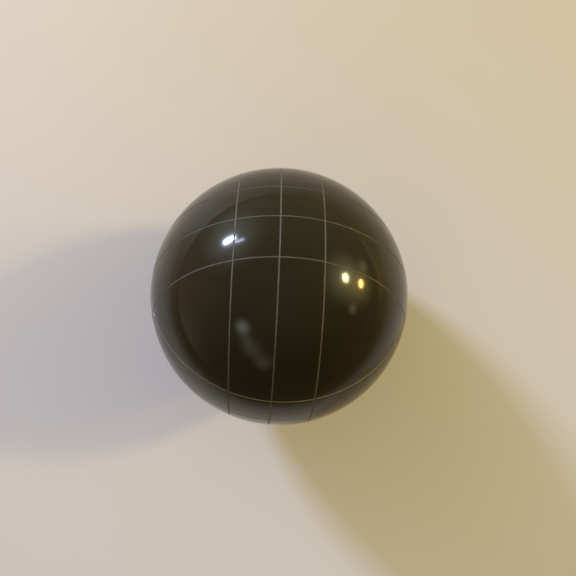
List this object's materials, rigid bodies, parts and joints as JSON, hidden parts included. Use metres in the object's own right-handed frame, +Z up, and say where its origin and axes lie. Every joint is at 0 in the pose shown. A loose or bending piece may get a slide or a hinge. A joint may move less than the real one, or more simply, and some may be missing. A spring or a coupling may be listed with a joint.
{
  "type": "bocce ball",
  "caption": "Solid cast resin ball for lawn bowling games, glossy dark brown-black, with thin pale lines scored round it in three sets at right angles.",
  "frame": {"origin": "centre of the ball", "axes": "+Z straight up from the ground that the ball lies on; +X to the right across the over lines; +Y away, along the over lines. The scored pattern is turned about 33 degrees from Z, as the ball has come to lie"},
  "size_m": [0.107, 0.107, 0.107],
  "materials": {
    "cover_resin": "cast resin, very dark brown-black, turned and polished to a high gloss, with light handling marks and dust",
    "core_resin": "mineral-filled cast resin, dull and fine-grained, as it left the mould",
    "line_filler": "dull grey-beige filler wiped into the scored lines, slightly worn and uneven"
  },
  "bodies": {
    "root": {"core": "core_resin", "cover": "cover_resin", "over_fill_left": "line_filler", "over_fill_middle": "line_filler", "over_fill_right": "line_filler", "cross_fill_near": "line_filler", "cross_fill_middle": "line_filler", "cross_fill_far": "line_filler", "waist_fill_lower": "line_filler", "waist_fill_middle": "line_filler", "waist_fill_upper": "line_filler"}
  },
  "joints": []
}
